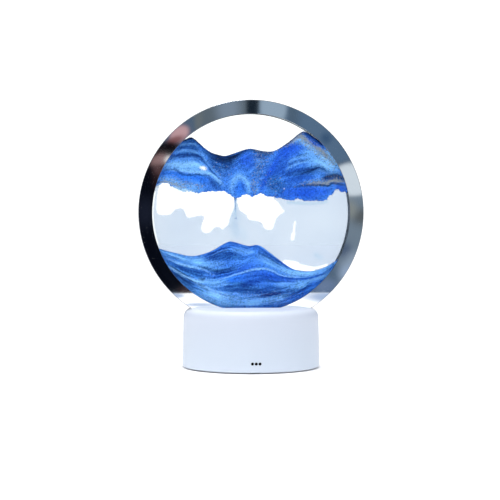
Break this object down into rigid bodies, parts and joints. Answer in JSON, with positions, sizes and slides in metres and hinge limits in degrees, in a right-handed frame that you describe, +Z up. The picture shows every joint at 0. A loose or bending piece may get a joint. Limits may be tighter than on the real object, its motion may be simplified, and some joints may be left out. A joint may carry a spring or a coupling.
{
  "type": "sand art hourglass lamp",
  "caption": "Round liquid-filled sand disc with a mirrored ring, standing on edge in the slot of a round lit base; the disc turns over in the slot to restart the falling sand.",
  "frame": {"origin": "on the table, under the centre of the round base", "axes": "+Z up; the disc's faces look along -Y (front, with the three indicator dots) and +Y (back, with the charging port and the button); +X is to the right seen from the front"},
  "size_m": [0.18, 0.11, 0.2137],
  "materials": {
    "shell_plastic": "satin",
    "milky_plastic": "matte",
    "screw_steel": "satin",
    "led_board_white": "satin",
    "led_package": "satin",
    "cover_plastic": "matte",
    "foot_rubber": "matte",
    "board_green": "satin",
    "component_black": "satin",
    "connector_ivory": "matte",
    "port_steel": "satin",
    "port_tongue_black": "matte",
    "switch_black": "satin",
    "plunger_orange": "satin",
    "button_plastic": "satin",
    "light_pipe_black": "gloss",
    "battery_foil": "satin",
    "foam_grey": "matte",
    "wire_insulation": "satin",
    "mirror_silver": "polished",
    "pane_glass": "polished",
    "seal_rubber": "satin",
    "plug_rubber": "matte",
    "clear_liquid": "gloss",
    "sand_deep_blue": "matte",
    "sand_light_blue": "matte"
  },
  "bodies": {
    "base": {"base_shell": "shell_plastic", "disc_cradle": "milky_plastic", "cradle_screws": "screw_steel", "led_board": "led_board_white", "led_chips": "led_package", "led_board_screws": "screw_steel", "bottom_cover": "cover_plastic", "cover_screws": "screw_steel", "rubber_feet": "foot_rubber", "main_board": "board_green", "board_components": "component_black", "main_board_screws": "screw_steel", "wire_connectors": "connector_ivory", "usb_socket": "port_steel", "usb_tongue": "port_tongue_black", "tact_switch": "switch_black", "indicator_light_pipe": "light_pipe_black", "indicator_board": "board_green", "indicator_leds": "led_package", "battery_cell": "battery_foil", "battery_foam_pad": "foam_grey", "battery_wires": "wire_insulation", "led_wires": "wire_insulation", "indicator_wires": "wire_insulation"},
    "disc": {"front_bezel": "mirror_silver", "rear_bezel": "mirror_silver", "front_glass": "pane_glass", "rear_glass": "pane_glass", "seal_ring": "seal_rubber", "fill_plug": "plug_rubber", "liquid": "clear_liquid", "upper_sand": "sand_deep_blue", "lower_sand": "sand_light_blue", "falling_sand": "sand_deep_blue"},
    "button": {"power_button": "button_plastic", "switch_plunger": "plunger_orange"}
  },
  "joints": [
    {"name": "disc_turn", "type": "hinge", "parent": "base", "child": "disc", "pos_m": [0, 0, 0.1237], "axis": [0, 1, 0], "continuous": true},
    {"name": "power_button", "type": "slide", "parent": "base", "child": "button", "axis": [0, -1, 0], "range_m": [0, 0.0005], "stiffness_N_per_m": 2000, "springref_m": -0.0002}
  ]
}
